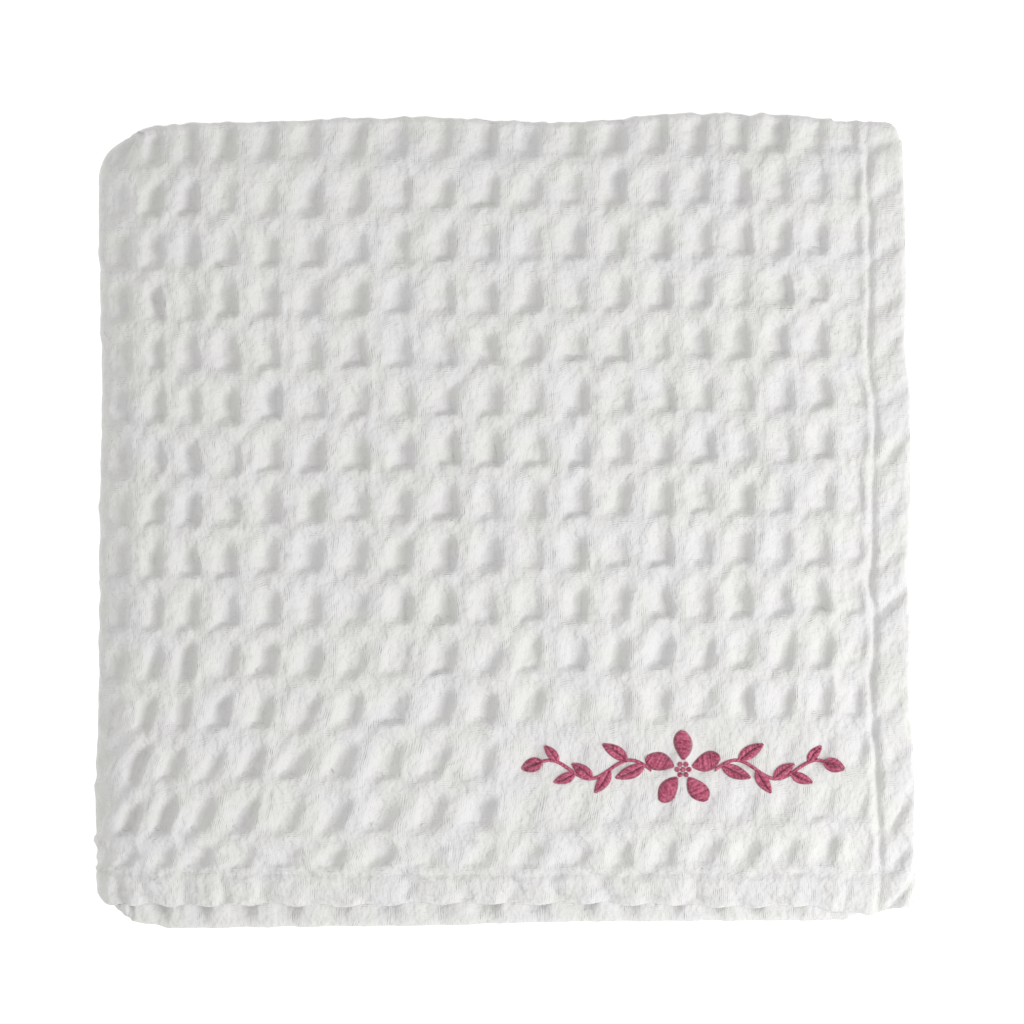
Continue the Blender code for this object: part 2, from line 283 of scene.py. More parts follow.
def step_between(ends, place):
    """A soft step from 0 at the first end to 1 at the second."""
    return eased((place - ends[0]) / (ends[1] - ends[0]))


def bell(distance, width):
    """1 in the middle, falling to 0 on both sides."""
    return np.exp(-((distance / width) ** 2))


def mix(start, end, share):
    """A share of the way from a start to an end."""
    return start + (end - start) * share


def along(table, place):
    """A table's second column at a place in its first, with soft changes between rows."""
    starts, values = np.array(table).T
    place = np.clip(place, starts[0], starts[-1])
    row = np.searchsorted(starts, place, side="right") - 1
    row = np.clip(row, 0, len(starts) - 2)
    share = (place - starts[row]) / (starts[row + 1] - starts[row])
    return mix(values[row], values[row + 1], eased(share))


def straight(table, place):
    """A table's second column at a place in its first, with straight lines between."""
    starts, values = np.array(table, float).T
    return np.interp(place, starts, values)


def turned(x, y, degrees):
    """A place turned about the origin."""
    turn = math.radians(degrees)
    sine, cosine = math.sin(turn), math.cos(turn)
    return x * cosine - y * sine, x * sine + y * cosine


def random_table(seed):
    """Random numbers from -1 to 1."""
    return np.random.RandomState(seed).uniform(-1, 1, (TABLE, TABLE))


def bumps(x, y, seed):
    """Smooth noise from -1 to 1, about one bump to a unit."""
    table = random_table(seed)
    column, row = np.floor(x).astype(int), np.floor(y).astype(int)
    a, b = eased(x - column), eased(y - row)
    column, row = column % TABLE, row % TABLE
    next_column, next_row = (column + 1) % TABLE, (row + 1) % TABLE
    near = table[column, row] * (1 - b) + table[column, next_row] * b
    far = table[next_column, row] * (1 - b) + table[next_column, next_row] * b
    return near * (1 - a) + far * a


def ripple(x, seed):
    """Smooth noise from -1 to 1 along a line."""
    return bumps(x, 0 * x, seed)


def stretched(crumple, x, y):
    """Noise of a crumple's height, lengths and turn."""
    height, across, length, degrees, seed = crumple
    p, q = turned(x, y, -degrees)
    first = bumps(p / across, q / length, seed)
    second = bumps(p / across + 0.37 + 0.5 * first, q / length + 0.61, seed + 1)
    return height * (0.6 * first + 0.6 * second)


def of_cell(column, row, seed):
    """A number from -1 to 1 for each cell, from a seed's table."""
    return random_table(seed)[column.astype(int) % TABLE, row.astype(int) % TABLE]


# ---------------- the solid's folds


def roll_turn(turn):
    """(outward share, upward share) of the roll's blunt curve at a turn in radians."""
    power = 2 / ROLL_BLUNTNESS
    up = np.sign(np.cos(turn)) * np.abs(np.cos(turn)) ** power
    return np.abs(np.sin(turn)) ** power, up


def roll_distances():
    """(turns, distances to them round the outer layer's roll)."""
    turns = np.linspace(0.0, math.pi, ROLL_SAMPLES + 1)
    out, up = roll_turn(turns)
    gaps = np.hypot(np.diff(out) * ROLL_HALF_WIDTH, np.diff(up) * OUTER_RISE)
    return turns, np.concatenate([[0.0], np.cumsum(gaps)])


TURNS, TURN_DISTANCES = roll_distances()
ROLL_RUN = TURN_DISTANCES[-1]
FULL_RUN = 2 * UPPER_RUN + ROLL_RUN


def round_roll(run):
    """The share of the way round the roll, below 0 before it and above 1 past it."""
    return (run - UPPER_RUN) / ROLL_RUN


def turn_at(run):
    """The roll's turn at a run: 0 all along the upper half, half a circle on the lower."""
    return np.interp(run - UPPER_RUN, TURN_DISTANCES, TURNS)


def plan_x(run):
    """X of the outer layer at a run, seen from above on a straight-sided blanket."""
    flat = np.where(run > UPPER_RUN + ROLL_RUN, FULL_RUN - run, run)
    reach = ROLL_HALF_WIDTH * roll_turn(turn_at(run))[0]
    return MEAN_RIGHT - np.minimum(flat, UPPER_RUN) - reach


def rounding(distance, radius):
    """How far a corner of the outline draws in, at a distance from its side."""
    inside = np.clip(radius - distance, 0.0, radius)
    return radius - np.sqrt(radius**2 - inside**2)


def drawn_in(distance, draw):
    """How far an edge draws in, at a distance from the roll or from the roll's end."""
    reach, most, power = draw
    return most * np.clip(1 - distance / reach, 0.0, 1.0) ** power


def back_line(table, x):
    """Y of a back edge that crosses from side to side, with its ends drawn in."""
    y = along(table, x) - drawn_in(x - MEAN_LEFT, BACK_DRAW)
    return y - rounding(along(RIGHT_SIDE, y) - x, BACK_RIGHT_ROUNDING)


def front_line(x):
    """Y of the front fold, which draws in towards its own roll."""
    return along(FRONT_FOLD, x) + drawn_in(x - MEAN_LEFT, FRONT_DRAW)


def row_y(number, x):
    """Y of a row's ridge, which runs a little nearer the back at the right."""
    share = (x - MEAN_LEFT) / (MEAN_RIGHT - MEAN_LEFT)
    return mix(FIRST_ROW_LEFT, FIRST_ROW_RIGHT, share) + number * ROW_PITCH


def section(part, place, x, lower):
    """(Y, depth below the outer layer) of the back-and-forth section, cut at X."""
    radius = LAYER_STEP / 2
    hem = along(FRONT_HEM, x) + LOWER_FRONT_INSET * lower
    back = back_line(BACK_FOLD, x) - LOWER_BACK_INSET * lower - radius
    front = front_line(x) + LOWER_FRONT_INSET * lower + radius
    sine, cosine = math.sin(math.pi * place), math.cos(math.pi * place)
    if part == "hem":
        return mix(hem, FRONT_SEAM_Y, place), 0.0
    if part == "seam row":
        return mix(FRONT_SEAM_Y, row_y(0, x), place), 0.0
    if part == "row":
        return row_y(place, x), 0.0
    if part == "last row":
        return mix(row_y(ROWS, x), back, place), 0.0
    if part == "back fold":
        return back + radius * sine, radius * (1 - cosine)
    if part == "second":
        return mix(back, front, place), LAYER_STEP
    if part == "front fold":
        return front - radius * sine, LAYER_STEP + radius * (1 - cosine)
    rear = back_line(REAR_HEM, x) - LOWER_BACK_INSET * lower
    return mix(front, rear, place), 2 * LAYER_STEP


def lean(x, y):
    """How far the columns lean to the left towards the front left corner."""
    return LEAN * step_between(LEAN_ACROSS, x) * step_between(LEAN_DOWN, y)


def roll_width_share(x, y):
    """The share of its width that the roll keeps, which is less at its ends."""
    drawn = drawn_in(back_line(BACK_FOLD, x) - y, ROLL_BACK_DRAW)
    drawn = drawn + drawn_in(y - along(FRONT_HEM, x), ROLL_FRONT_DRAW)
    return 1 - drawn / ROLL_HALF_WIDTH


def book(run, y, depth, lower):
    """(X, height over the floor) of the cloth on its way round the roll."""
    rise = OUTER_RISE - depth
    wider = (ROLL_HALF_WIDTH / OUTER_RISE - 1) * (rise / OUTER_RISE) ** ROLL_TAPER
    width = rise * (1 + wider)
    roll_x = along(LEFT_SIDE, y) + depth * ROLL_INNER_EXTRA + width
    layers = np.clip(depth / LAYER_STEP, 0, LAYERS_A_HALF - 1)
    inset = np.interp(layers, range(LAYERS_A_HALF), LAYER_SIDE_INSETS)
    free_x = along(RIGHT_SIDE, y) - inset - LOWER_SIDE_INSET * lower
    height, length, seed = EDGE_WAVES
    free_x = free_x + height * bumps(y / length, layers * 1.7 + lower * 9.0 + 5, seed)
    flat = np.minimum(run, FULL_RUN - run)
    share = np.clip(flat / UPPER_RUN, 0.0, 1.0)
    out, up = roll_turn(turn_at(run))
    width = width * roll_width_share(plan_x(run), y)
    return mix(free_x, roll_x, share) - width * out, MIDDLE_Z + rise * up


def loft(x, y):
    """The share of the full height that the stack has at a place."""
    gaps = (
        x - along(LEFT_SIDE, y),
        along(RIGHT_SIDE, y) - x,
        y - FRONT_EDGE,
        BACK_EDGE - y,
    )
    share = 1.0
    for gap, drop, width in zip(gaps, EDGE_DROPS, DROP_WIDTHS):
        share = share - drop * (1 - eased(gap / width))
    for size, length_x, length_y, start in LOFT_WAVES:
        wave_x = np.sin(math.tau * (x / length_x + start))
        share = share + size * wave_x * np.sin(math.tau * (y / length_y + start))
    return share


# ---------------- stations


def side_axis():
    """(runs, columns, spans): each span is (first station, last station, strides)."""
    runs, columns, spans = [], [], []
    for share in HEM_SHARES:
        runs.append(share * SIDE_SEAM_RUN)
        columns.append(share - 1)
    spans.append((0, len(runs) - 1, (1, 1, 1)))
    for column in range(COLUMNS):
        upper = column < UPPER_COLUMNS
        steps = CELL_STEPS if upper else CELL_STEPS // CELL_STRIDES[1]
        start = runs[-1]
        pitch = straight(COLUMN_PITCH, column)
        if not upper:
            left = FULL_RUN - SIDE_SEAM_RUN - start
            pitch = left / (COLUMNS - column)
        spans.append((len(runs) - 1, len(runs) - 1 + steps, CELL_STRIDES if upper else (1, 1, 2)))
        for step in range(1, steps + 1):
            runs.append(start + pitch * step / steps)
            columns.append(column + step / steps)
    last = len(runs) - 1
    for share in HEM_SHARES[-2::-1]:
        runs.append(FULL_RUN - share * SIDE_SEAM_RUN)
        columns.append(COLUMNS + 1 - share)
    spans.append((last, len(runs) - 1, (1, 1, 1)))
    return np.array(runs), np.array(columns), spans


def length_axis():
    """(parts with places, rows, spans): each span also says which layer or fold it is in."""
    stations, rows, spans = [("hem", 0.0)], [-2.0], []

    def add(layer, part, places, row_places, strides):
        spans.append((len(stations) - 1, len(stations) - 1 + len(places), strides, layer))
        stations.extend((part, place) for place in places)
        rows.extend(row_places)

    def even(start, end, steps):
        return list(np.linspace(start, end, steps + 1)[1:])

    add("front hem", "hem", HEM_SHARES[1:], [share - 2 for share in HEM_SHARES[1:]], (1, 1, 1))
    add("first", "seam row", even(0, 1, CELL_STEPS), even(-1, 0, CELL_STEPS), CELL_STRIDES)
    for row in range(ROWS):
        steps = even(row, row + 1, CELL_STEPS)
        add("first", "row", steps, steps, CELL_STRIDES)
    add("first", "last row", even(0, 1, 8), even(ROWS, BACK_FOLD_ROWS[0], 8), (1, 2, 4))
    fold = even(0, 1, FOLD_STEPS)
    add("back fold", "back fold", fold, even(*BACK_FOLD_ROWS, FOLD_STEPS), (1, 1, 2))
    steps = 2 * round(FRONT_END_ROW - BACK_FOLD_ROWS[1])
    rows_on = even(BACK_FOLD_ROWS[1], FRONT_END_ROW, steps)
    add("second", "second", even(0, FRONT_END_SHARE, steps), rows_on, (1, 1, 1))
    rows_on = even(FRONT_END_ROW, FRONT_FOLD_ROWS[0], 8)
    add("front end", "second", even(FRONT_END_SHARE, 1, 8), rows_on, (1, 2, 4))
    add("front fold", "front fold", fold, even(*FRONT_FOLD_ROWS, FOLD_STEPS), (1, 1, 2))
    steps = 2 * round(REAR_SEAM_ROW - FRONT_FOLD_ROWS[1])
    rows_on = even(FRONT_FOLD_ROWS[1], REAR_SEAM_ROW, steps)
    add("third", "third", even(0, REAR_SEAM_SHARE, steps), rows_on, (1, 1, 1))
    hem = HEM_SHARES[-2::-1]
    places = [1 - share * (1 - REAR_SEAM_SHARE) for share in hem]
    add("rear hem", "third", places, [REAR_SEAM_ROW + 1 - share for share in hem], (1, 1, 1))
    return stations, np.array(rows), spans


# ---------------- the cloth's surfaces


def fall(place, ridge, deep):
    """0 on the ridges' tops and 1 in the deep stretch between a steep and a gentle wall."""
    near, far = ridge
    start, end = deep
    steep = np.clip((place - near) / (start - near), 0.0, 1.0)
    gentle = np.clip((1 - far - place) / (1 - far - end), 0.0, 1.0)
    wall = np.minimum(steep, gentle)
    return 0.2 * wall + 0.8 * eased(wall)


def weave(column, row):
    """(height, shift towards the roll, shift to the back, pit) of the woven relief."""
    i, j = np.floor(column), np.floor(row)
    a, b = column - i, row - j
    middle_a, middle_b = np.sin(math.pi * a) ** 2, np.sin(math.pi * b) ** 2
    tilt = straight(TILT_ROWS, row) * (1 + 0.6 * of_cell(i, j, 20))
    shift = PIT_SHIFT * of_cell(i, j, 21)
    across = fall(
        a + tilt * (b - 0.5) * middle_a,
        UPRIGHT_RIDGE,
        (UPRIGHT_DEEP[0] + shift, UPRIGHT_DEEP[1] + shift),
    )
    shift = PIT_SHIFT * of_cell(i, j, 22)
    length = fall(b, LEVEL_RIDGE, (LEVEL_DEEP[0] + shift, LEVEL_DEEP[1] + shift))
    pit = across * length * (1 + PIT_UNEVENNESS * of_cell(i, j, 23))
    ridge = np.round(row)
    puff = LEVEL_PUFF * (1 + 0.8 * of_cell(i, ridge, 24)) * middle_a * (1 - length) ** 2
    upright = middle_b * (1 - across) ** 2
    puff = puff + UPRIGHT_PUFF * (1 + of_cell(np.round(column), j, 25)) * upright
    puff = puff + CREST_WAVES * bumps(column * 0.9, row * 0.9, 30)
    height = CREST_RISE - PIT_DEPTH * pit + puff
    bow = LEVEL_BOW * (0.8 + 0.8 * of_cell(i, ridge, 26)) * middle_a * (1 - length)
    aside = UPRIGHT_WAVER * bumps(column * 1.3, row * 1.9, 27)
    zigzag = ZIGZAG * straight(ZIGZAG_ROWS, row) * np.sin(math.tau * b)
    zigzag = zigzag * (1 + 0.6 * bumps(column * 0.7, row * 0.7, 28))
    back = LEVEL_WAVER * bumps(column * 1.1, row * 0.9, 29) + bow
    return height, aside + zigzag, back, pit


def nose(distance, length):
    """The share of its thickness that a hem has at a distance from its rounded edge."""
    reach = np.clip(distance / length, 0.0, 1.0)
    return 0.25 + 0.75 * np.sqrt(1 - (1 - reach) ** 2)


def seam_shape(distance, sink):
    """Height of a seam's groove and of the lips on both sides, at a distance from it."""
    groove = -sink * bell(distance, SEAM_HALF_WIDTH)
    lips = SEAM_LIP * bell(np.abs(distance) - SEAM_LIP_PLACE, SEAM_LIP_WIDTH)
    return groove + lips


def hem_band(place, phase, puff, pucker, at_edge, seed):
    """Height of a hem that puffs out between narrow slanting troughs."""
    place = np.clip(place, 0.0, 1.0)
    arch = np.sin(math.pi * place) ** 0.6
    trough_arch = np.sin(math.pi * (at_edge + (1 - at_edge) * place)) ** 0.6
    phase = phase + 0.25 * bumps(phase * 0.9, place * 1.4, seed)
    trough = bell(phase - np.round(phase), TROUGH_WIDTH)
    depth = pucker * (1 + 0.6 * of_cell(np.round(phase), 0 * phase, seed + 1))
    return puff * arch - depth * trough * trough_arch


def unit(vectors):
    """Vectors on a lattice, each made one long."""
    return vectors / np.linalg.norm(vectors, axis=2, keepdims=True)


def chord_tangents(points, axis):
    """Unit tangents of the lattice's lines, true on circles with uneven steps."""
    points = np.moveaxis(points, axis, 0)
    steps = np.diff(points, axis=0)
    lengths = np.linalg.norm(steps, axis=2, keepdims=True)
    units = steps / np.maximum(lengths, 1e-9)
    inner = units[1:] * lengths[:-1] + units[:-1] * lengths[1:]
    tangents = np.concatenate([units[:1], inner, units[-1:]])
    return np.moveaxis(unit(tangents), 0, axis)


def middle_surface(runs, stations, aside, back):
    """The cloth's middle surface on the lattice, without its weave's relief."""
    points = np.empty((len(runs), len(stations), 3))
    for j, (part, place) in enumerate(stations):
        run = np.clip(runs + aside[:, j], 0.0, FULL_RUN)
        x = plan_x(run)
        lower = step_between(LOWER_ENDS, round_roll(run))
        y, depth = section(part, place, x, lower)
        y = y + back[:, j]
        depth = np.full_like(y, depth)
        leaning = lean(x, y) * (1 - step_between(LEAN_ENDS, round_roll(run)))
        x, z = book(run + leaning, y, depth, lower)
        raised = np.maximum(z - LAYER_STEP / 2, 0.0)
        z = z + (loft(x, y) - 1) * raised
        points[:, j] = np.column_stack([x - OUTLINE_MIDDLE[0], y - OUTLINE_MIDDLE[1], z])
    return points


def calm_share(points):
    """1 under the sprig, falling to 0 round it."""
    gaps = [np.abs(points[..., k] - SPRIG_MIDDLE[k]) - SPRIG_HALF[k] for k in (0, 1)]
    over = np.hypot(np.maximum(gaps[0], 0), np.maximum(gaps[1], 0))
    return (1 - eased(over / CALM_MARGIN)) * (points[..., 2] > MIDDLE_Z + OUTER_RISE / 2)


def cloth_faces():
    """(outer points, inner points, normals, cells, side spans, length spans)."""
    runs, columns, side_spans = side_axis()
    stations, rows, length_spans = length_axis()
    column, row = np.meshgrid(columns, rows, indexing="ij")
    run = np.meshgrid(runs, rows, indexing="ij")[0]
    layers = [length_spans[0][3]]
    for start, end, _, layer in length_spans:
        layers += [layer] * (end - start)
    first = np.isin(layers, SHOWN["outer"]).astype(float)
    lower = step_between(LOWER_ENDS, round_roll(run))

    # Distances from the hems' edges and from their seams
    side_edge = np.minimum(run, FULL_RUN - run)
    side_seam = side_edge - SIDE_SEAM_RUN
    hem_width = FRONT_SEAM_Y - FRONT_HEM[1][1]
    front_edge = np.where(row < -1, (row + 2) * hem_width, (row + 1) * ROW_PITCH + hem_width)
    far = 99.0
    rear_edge = np.where(row > REAR_SEAM_ROW, REAR_SEAM_ROW + 1 - row, far) * hem_width
    end_edge = np.minimum(front_edge, rear_edge)
    end_seam = end_edge - hem_width
    in_side_hem = 1 - eased((side_seam + SEAM_STEP) / (2 * SEAM_STEP))
    in_end_hem = 1 - eased((end_seam + SEAM_STEP) / (2 * SEAM_STEP))
    in_hem = np.maximum(in_side_hem, in_end_hem)

    # The weave, calmer in the hems, round the roll and on hidden layers
    turned_under = row > BACK_FOLD_ROWS[1]
    height, aside, back, pit = weave(
        column + STRIP_SHIFT[0] * turned_under,
        row + STRIP_SHIFT[1] * turned_under,
    )
    quiet = straight(QUIET_ROWS, row) * straight(ROLL_RELIEF, round_roll(run))
    by_side, by_front = (column > 0) & (column < 1), (row > -1) & (row < 0)
    edge_cells = 1 - EDGE_CELL_LOSSES[0] * by_side - EDGE_CELL_LOSSES[1] * by_front
    moves = quiet * (1 - in_hem) * first * step_between(MOVING_BACK_ROWS, row)
    moves = moves * step_between(MOVING_COLUMNS, column) * step_between(MOVING_ROWS, row)
    by_side_seam = first * bell(side_seam, SEAM_WAVER_REACH)
    by_end_seam = first * bell(end_seam, SEAM_WAVER_REACH)
    aside = aside * moves + SEAM_WAVER * by_side_seam * ripple(row * 1.7, 43)
    back = back * moves + SEAM_WAVER * by_end_seam * ripple(column * 1.5, 44)
    scallop = HEM_SCALLOP * (np.sin(math.tau * column) + ripple(column * 1.3, 45))
    back = back - scallop * first * (1 - lower) * np.exp(-((front_edge / hem_width) ** 2) * 3)
    points = middle_surface(runs, stations, aside, back)
    x, y = points[..., 0], points[..., 1]
    calm = 1 - CALM * calm_share(points)
    along_cloth = row * ROW_PITCH
    crumpled = sum(stretched(crumple, run, along_cloth) for crumple in CRUMPLES)
    on_ridges = 1 - WRINKLE_LOSS * np.minimum(pit, 1)
    crumpled = crumpled + stretched(WRINKLES, run, along_cloth) * on_ridges
    creases = stretched(CREASES, x, y) * straight(CREASE_ROWS, row)
    woven = height * edge_cells * calm * (1 - HEM_LOSSES[0] * in_hem)
    relief = woven + (crumpled + creases) * calm * (1 - HEM_LOSSES[1] * in_hem)
    rolled = step_between(ROLLED, round_roll(run))
    by_back_fold = step_between(BACK_FOLD_SINK, row)
    relief = relief * quiet - np.maximum(lower, by_back_fold) * first * CREST_RISE

    # The hems' puffed bands, their puckers and the seams
    place = side_edge / SIDE_SEAM_RUN
    phase = row - SIDE_PUCKER_SLANT * (1 - place)
    hems = hem_band(place, phase, SIDE_PUFF, SIDE_PUCKER, PUCKER_STARTS[0], 31) * in_side_hem
    place = end_edge / hem_width
    phase = column - FRONT_PUCKER_SLANT * (1 - place)
    bands = hem_band(place, phase, FRONT_PUFF, FRONT_PUCKER, PUCKER_STARTS[1], 33)
    hems = hems + bands * in_end_hem
    sink = SIDE_SEAM_SINK * (1 + 0.3 * ripple(row * 2.1, 35))
    hems = hems + seam_shape(side_seam, sink) * (1 - CROSSING_LOSS * in_end_hem)
    off_roll = 1 - PLAINER[0] * rolled
    hems = hems * (1 - PLAINER[0] * by_back_fold * first) * off_roll
    sink = FRONT_SEAM_SINK * (1 + 0.6 * ripple(column * 1.9, 36))
    hems = hems + seam_shape(end_seam, sink) * (1 - CROSSING_LOSS * in_side_hem) * off_roll
    hems = hems * (1 - PLAINER[1] * lower)
    hems = hems * (HIDDEN + (1 - HIDDEN) * first)

    edge = nose(side_edge, EDGE_NOSES[0]) * nose(end_edge, EDGE_NOSES[1])
    thick_out = CLOTH_THICK / 2 + (HEM_OUTER_THICK - CLOTH_THICK / 2) * in_hem * (1 - lower)
    thick_in = CLOTH_THICK / 2 + (HEM_INNER_THICK - CLOTH_THICK / 2) * in_hem
    thinner, reach = SEAM_PINCH
    pinch = bell(side_seam, reach) + bell(end_seam, reach)
    both = relief + stretched(DRIFT, x, y) * (1 - lower)
    out_height = both + (hems + thick_out) * edge
    in_height = both * INNER_RELIEF - thick_in * edge * (1 - thinner * pinch)

    normals = unit(np.cross(chord_tangents(points, 1), chord_tangents(points, 0)))
    outer = points + normals * out_height[..., None]
    inner = points + normals * in_height[..., None]
    for side in (outer, inner):
        side[..., 2] = np.maximum(side[..., 2], 0.0)
    cells = np.stack([column, row], axis=2)
    return outer, inner, normals, cells, side_spans, length_spans


# ---------------- the sheet's mesh

FINE, MIDDLE, COARSE = 0, 1, 2


def density(face, on_upper, layer):
    """How fine the sheet's faces are, for what shows of them."""
    if layer in SHOWN[face]:
        return FINE if on_upper else MIDDLE
    return MIDDLE if layer in ("front hem", "rear hem") else COARSE


def blocks(face, side_spans, length_spans):
    """(first side station, last, first length station, last) of every face."""
    for s, (start, end, strides) in enumerate(side_spans):
        on_upper = s <= UPPER_COLUMNS
        for first, last, length_strides, layer in length_spans:
            kind = density(face, on_upper, layer)
            if s in (0, len(side_spans) - 1) and kind == COARSE:
                kind = MIDDLE
            step, length_step = strides[kind], length_strides[kind]
            for i in range(start, end, step):
                for j in range(first, last, length_step):
                    yield i, i + step, j, j + length_step


def outline(used, block):
    """The used lattice places round a block, in order."""
    i0, i1, j0, j1 = block
    if i1 - i0 == 1 and j1 - j0 == 1:
        return [(i0, j0), (i1, j0), (i1, j1), (i0, j1)]
    ring = [(i, j0) for i in range(i0, i1)] + [(i1, j) for j in range(j0, j1)]
    ring += [(i, j1) for i in range(i1, i0, -1)] + [(i0, j) for j in range(j1, j0, -1)]
    return [place for place in ring if used[place]]


def sheet_mesh(outer, inner, cells, side_spans, length_spans):
    """The closed mesh of the cloth, with its cells as texture coordinates."""
    shape = outer.shape[:2]
    faces, points, uvs, numbers, uses = [], [], [], {}, {}
    for face, places in (("outer", outer), ("inner", inner)):
        found = list(blocks(face, side_spans, length_spans))
        used = np.zeros(shape, bool)
        corners = np.array(found)
        for i, j in ((0, 2), (1, 2), (1, 3), (0, 3)):
            used[corners[:, i], corners[:, j]] = True
        number = np.full(shape, -1)
        start = sum(len(p) for p in points)
        number[used] = np.arange(start, start + used.sum())
        points.append(places[used])
        uvs.append(cells[used])
        numbers[face], uses[face] = number, used
        for block in found:
            ring = [int(number[place]) for place in outline(used, block)]
            faces.append(ring[::-1] if face == "outer" else ring)
    last_i, last_j = shape[0] - 1, shape[1] - 1
    sides = (
        ([(0, j) for j in range(last_j + 1)], True),
        ([(last_i, j) for j in range(last_j + 1)], False),
        ([(i, 0) for i in range(last_i + 1)], False),
        ([(i, last_j) for i in range(last_i + 1)], True),
    )
    shared = uses["outer"] & uses["inner"]
    for line, backwards in sides:
        marks = [k for k, place in enumerate(line) if shared[place]]
        for first, last in zip(marks, marks[1:]):
            stretch = line[first : last + 1]
            top = [int(numbers["outer"][p]) for p in stretch if uses["outer"][p]]
            under = [int(numbers["inner"][p]) for p in stretch if uses["inner"][p]]
            faces.append(top[::-1] + under if backwards else top + under[::-1])
    mesh = bpy.data.meshes.new("waffle_cloth")
    mesh.from_pydata(np.concatenate(points).tolist(), [], faces)
    uv = mesh.uv_layers.new(name="cells")
    loops = np.empty(len(mesh.loops), np.int32)
    mesh.loops.foreach_get("vertex_index", loops)
    uv.data.foreach_set("uv", np.concatenate(uvs)[loops].astype(np.float32).ravel())
    mesh.shade_smooth()
    mesh.update()
    return mesh


# ---------------- threads


def thread_mesh(name, lines, ups, radius, sides):
    """One mesh of short closed tubes, each along a line of points, with a tone each."""
    lines, ups = np.array(lines), np.array(ups)
    count, rings = lines.shape[:2]
    steps = np.gradient(lines, axis=1)
    across = np.cross(steps, ups)
    across, over = unit(across), unit(np.cross(across, steps))
    place = np.linspace(0.0, 1.0, rings)
    widths = radius * np.sin(math.pi * (0.13 + 0.74 * place)) ** 0.6
    points = np.empty((count, rings, sides, 3))
    for side in range(sides):
        turn = math.tau * (side + 0.5) / sides
        out = across * math.cos(turn) + over * math.sin(turn)
        points[:, :, side] = lines + out * widths[:, None]
    ring = np.arange(sides)
    next_ring = (ring + 1) % sides
    one = []
    for k in range(rings - 1):
        low, high = k * sides, (k + 1) * sides
        one += [(low + a, high + a, high + b, low + b) for a, b in zip(ring, next_ring)]
    ends = [tuple(ring), tuple((ring + (rings - 1) * sides)[::-1])]
    faces = []
    for number in range(count):
        start = number * rings * sides
        faces += [[int(start + corner) for corner in face] for face in one + ends]
    mesh = bpy.data.meshes.new(name)
    mesh.from_pydata(points.reshape(-1, 3).tolist(), [], faces)
    tones = np.random.RandomState(51).uniform(0, 1, count).repeat(rings * sides)
    tone = mesh.attributes.new("tone", "FLOAT", "POINT")
    tone.data.foreach_set("value", tones.astype(np.float32))
    mesh.shade_smooth()
    mesh.update()
    return mesh


def seam_stitches(points, normals):
    """(lines, ups) of stitches that follow a line of the lattice's points."""
    gaps = np.linalg.norm(np.diff(points, axis=0), axis=1)
    distances = np.concatenate([[0.0], np.cumsum(gaps)])
    place = np.linspace(0.0, 1.0, STITCH_RINGS)
    dip = STITCH_RADIUS * 1.6 * (2 * place - 1) ** 4
    lines, ups = [], []
    start = STITCH_PITCH
    while start + STITCH_LENGTH < distances[-1]:
        at = start + STITCH_LENGTH * place
        line, up = (
            np.stack([np.interp(at, distances, known[:, k]) for k in range(3)], axis=1)
            for known in (points, normals)
        )
        lines.append(line + up * (STITCH_LIFT - dip)[:, None])
        ups.append(up)
        start += STITCH_PITCH
    return lines, ups


# ---------------- the sprig


def placed(base, x, y, degrees):
    """A place turned about the origin and then moved by a base."""
    x, y = turned(x, y, degrees)
    return base[0] + x, base[1] + y


def leaf(base, degrees, length, half_width, bend):
    """Threads of a leaf in two halves that meet on its bent vein."""
    threads = []
    count = round(length / THREAD_PITCH)
    slant = math.tan(math.radians(LEAF_THREAD_SLANT))
    for number in range(1, count):
        share = number / count
        for side in (-1, 1):
            width = half_width * math.sin(math.pi * share**0.85) ** 0.75
            root = max(share - slant * width / length, 0.02)
            vein = (root * length, bend * length * root**2)
            edge = (share * length, bend * length * share**2 + side * width)
            threads.append((placed(base, *vein, degrees), placed(base, *edge, degrees)))
    return threads


def petal(degrees):
    """Threads straight across a petal of the flower."""
    begin, length, half_width = PETAL
    threads = []
    count = round(length / THREAD_PITCH)
    for number in range(1, count):
        share = number / count
        width = half_width * math.sin(math.pi * min(share**1.25, 1.0)) ** 0.6
        x = begin + length * share
        threads.append((
            turned(x - 0.2 * width, -width, degrees),
            turned(x + 0.2 * width, width, degrees),
        ))
    return threads


def knot(x, y, degrees):
    """Threads of a small raised dot."""
    threads = []
    count = round(2 * KNOT_RADIUS / THREAD_PITCH)
    for number in range(count):
        across = KNOT_RADIUS * (2 * (number + 0.5) / count - 1)
        half = math.sqrt(KNOT_RADIUS**2 - across**2)
        threads.append([placed((x, y), across, reach, degrees) for reach in (-half, half)])
    return threads


def stem_y(x):
    """Height of the stem's wave, at a distance from the flower's middle."""
    height, length = STEM_WAVE
    return height * math.sin(math.tau * (x - STEM_ENDS[0]) / length)


def stem_slope(x):
    """The stem's direction in degrees."""
    height, length = STEM_WAVE
    turn = math.tau / length
    return math.degrees(math.atan(height * turn * math.cos(turn * (x - STEM_ENDS[0]))))


